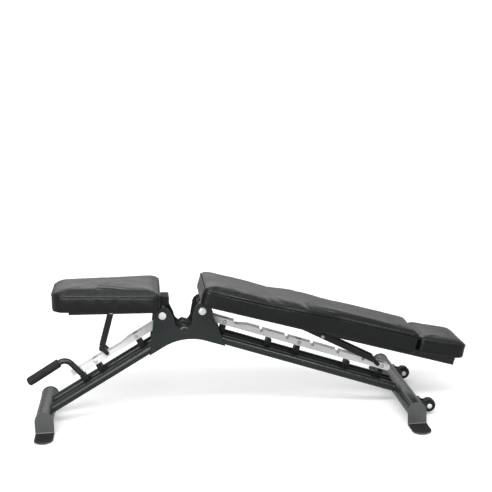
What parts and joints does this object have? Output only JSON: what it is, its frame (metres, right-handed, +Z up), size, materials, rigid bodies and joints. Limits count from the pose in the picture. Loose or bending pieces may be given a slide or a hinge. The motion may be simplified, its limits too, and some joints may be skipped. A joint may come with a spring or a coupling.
{
  "type": "adjustable weight bench",
  "caption": "Padded weight bench on a twin-rail steel frame: the seat tilts and the backrest goes from upright to decline, each held by a strut in a notched ladder.",
  "frame": {"origin": "on the floor, under the middle of the bench's length and width", "axes": "+X from the seat towards the head end, +Y across the bench, +Z up"},
  "size_m": [1.4494, 0.688, 0.4587],
  "materials": {
    "frame_paint": "satin charcoal powder coat",
    "foot_paint": "smooth dark grey powder coat",
    "ladder_steel": "bright zinc plate",
    "post_paint": "black powder coat",
    "strut_paint": "satin black paint",
    "cap_chrome": "polished",
    "bolt_steel": "dull zinc plate",
    "vinyl": "fine-grained black vinyl",
    "plywood": "black-stained plywood",
    "wedge_plastic": "moulded black plastic",
    "grip_foam": "closed-cell foam",
    "black_rubber": "matte",
    "wheel_rubber": "hard rubber",
    "nylon": "natural nylon"
  },
  "bodies": {
    "frame": {"front_foot_tube": "frame_paint", "rear_foot_tube": "frame_paint", "front_foot_plate_far": "foot_paint", "front_foot_plate_near": "foot_paint", "rear_foot_plate_far": "foot_paint", "rear_foot_plate_near": "foot_paint", "foot_soles": "black_rubber", "foot_treads": "black_rubber", "front_rail_near": "frame_paint", "rear_rail_near": "frame_paint", "front_rail_far": "frame_paint", "rear_rail_far": "frame_paint", "front_ladder_far": "ladder_steel", "front_ladder_near": "ladder_steel", "centre_plate_far": "frame_paint", "centre_plate_near": "frame_paint", "rear_ladder_far": "ladder_steel", "rear_ladder_near": "ladder_steel", "front_ladder_posts": "post_paint", "rear_ladder_posts": "post_paint", "ladder_bolts": "bolt_steel", "ladder_anchor_rods": "frame_paint", "handle_tube": "frame_paint", "handle_grip": "grip_foam", "wheel_fork_near": "frame_paint", "wheel_fork_far": "frame_paint", "wheel_bolts": "cap_chrome", "pivot_axles": "bolt_steel", "pivot_caps": "cap_chrome"},
    "wheel_near": {"transport_wheel_near": "wheel_rubber"},
    "wheel_far": {"transport_wheel_far": "wheel_rubber"},
    "seat": {"seat_tube": "frame_paint", "seat_pivot_sleeve": "frame_paint", "seat_bushes": "nylon", "seat_tube_plug": "wedge_plastic", "seat_board": "plywood", "seat_pad": "vinyl", "seat_rear_guard": "black_rubber", "seat_pad_bolts": "bolt_steel", "seat_strut_bolt": "bolt_steel"},
    "seat_strut": {"seat_strut_bar_far": "strut_paint", "seat_strut_bar_near": "strut_paint", "seat_strut_pin": "strut_paint"},
    "backrest": {"back_tube": "frame_paint", "back_pivot_sleeve": "frame_paint", "back_bushes": "nylon", "back_tube_plug": "wedge_plastic", "back_board": "plywood", "back_pad": "vinyl", "head_wedge": "wedge_plastic", "head_board": "plywood", "head_pad": "vinyl", "back_pad_bolts": "bolt_steel", "back_strut_bolt": "bolt_steel"},
    "back_strut": {"back_strut_bar_far": "strut_paint", "back_strut_bar_near": "strut_paint", "back_strut_pin": "strut_paint", "back_strut_spacer": "strut_paint", "back_strut_tie_bolt": "bolt_steel"}
  },
  "joints": [
    {"name": "seat_tilt", "type": "hinge", "parent": "frame", "child": "seat", "pos_m": [-0.27249, 0, 0.353], "axis": [0, 1, 0], "range_deg": [0, 12.32]},
    {"name": "seat_strut_swing", "type": "hinge", "parent": "seat", "child": "seat_strut", "pos_m": [-0.43685, 0, 0.36544], "axis": [0, -1, 0], "range_deg": [0, 37.96]},
    {"name": "backrest_recline", "type": "hinge", "parent": "frame", "child": "backrest", "pos_m": [-0.14249, 0, 0.361], "axis": [0, -1, 0], "range_deg": [0, 89.11]},
    {"name": "back_strut_swing", "type": "hinge", "parent": "backrest", "child": "back_strut", "pos_m": [0.1359, 0, 0.29209], "axis": [0, -1, 0], "range_deg": [-145.75, 0]},
    {"name": "wheel_spin_near", "type": "hinge", "parent": "frame", "child": "wheel_near", "pos_m": [0.57301, -0.168, 0.033], "axis": [0, 1, 0], "continuous": true},
    {"name": "wheel_spin_far", "type": "hinge", "parent": "frame", "child": "wheel_far", "pos_m": [0.57301, 0.168, 0.033], "axis": [0, 1, 0], "continuous": true}
  ],
  "couplings": [
    {"joint": "seat_strut_swing", "follows": "seat_tilt", "ratio": 3.0755},
    {"joint": "back_strut_swing", "follows": "backrest_recline", "ratio": -1.6324}
  ]
}
